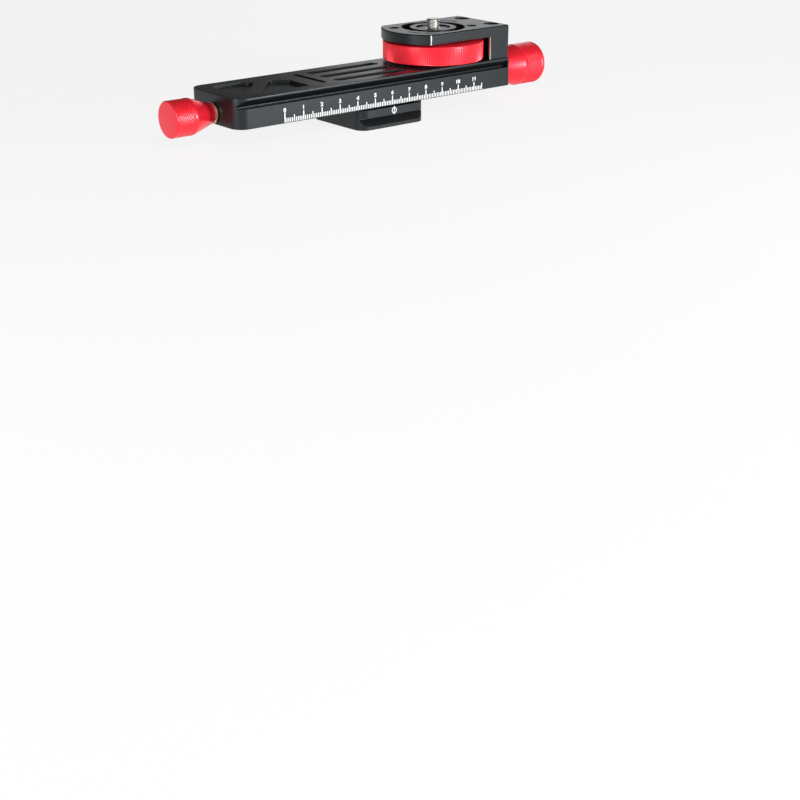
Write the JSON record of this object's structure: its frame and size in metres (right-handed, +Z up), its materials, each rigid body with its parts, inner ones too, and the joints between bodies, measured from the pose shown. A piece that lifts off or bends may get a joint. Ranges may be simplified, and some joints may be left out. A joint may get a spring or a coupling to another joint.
{
  "type": "macro focusing rail",
  "caption": "Macro focusing rail: a ruled black rail slides on a dovetail foot by a lead screw with red knobs, and a red thumbwheel drives the camera stud.",
  "frame": {"origin": "middle of the foot's underside, at the mouth of the tripod thread", "axes": "+X along the rail towards the stage and the large knob, +Z up, the scale faces -Y"},
  "size_m": [0.2139, 0.0478, 0.0426],
  "materials": {
    "black_anodised": "black anodised, satin",
    "red_anodised": "red anodised, knurled where gripped",
    "acetal": "natural acetal",
    "glide_plastic": "white low-friction plastic",
    "brass": "turned brass",
    "bronze": "oiled bronze",
    "steel": "turned stainless steel",
    "black_steel": "blackened steel",
    "white_print": "white ink of scale, numbers and index mark"
  },
  "bodies": {
    "carriage": {"dovetail_foot": "black_anodised", "front_slide_strip": "acetal", "rear_slide_strip": "acetal", "drive_nut": "brass", "strip_screws": "steel", "nut_screws": "steel"},
    "rail": {"rail_body": "black_anodised", "left_bush": "bronze", "right_bush": "bronze", "stage_bracket": "black_anodised", "stage_screws": "black_steel", "stage_dowels": "steel", "lower_glide_washer": "glide_plastic"},
    "screw_and_knobs": {"lead_screw": "steel", "left_thrust_washer": "brass", "right_thrust_washer": "brass", "small_knob": "red_anodised", "small_knob_grub_screw": "black_steel", "large_knob": "red_anodised", "large_knob_grub_screw": "black_steel"},
    "stage_wheel": {"thumbwheel": "red_anodised", "stage_hub": "black_anodised", "camera_stud": "steel", "flange_screws": "steel", "upper_glide_washer": "glide_plastic"}
  },
  "joints": [
    {"name": "rail_slide", "type": "slide", "parent": "carriage", "child": "rail", "axis": [1, 0, 0], "range_m": [-0.051, 0.061]},
    {"name": "lead_screw_turn", "type": "hinge", "parent": "rail", "child": "screw_and_knobs", "pos_m": [0, 0, 0.01465], "axis": [1, 0, 0], "range_deg": [-14690, 17570]},
    {"name": "stage_wheel_turn", "type": "hinge", "parent": "rail", "child": "stage_wheel", "pos_m": [0.0395, 0, 0.02805], "axis": [0, 0, 1], "continuous": true}
  ],
  "couplings": [
    {"joint": "lead_screw_turn", "follows": "rail_slide", "rad_per_m": 5026.5}
  ]
}
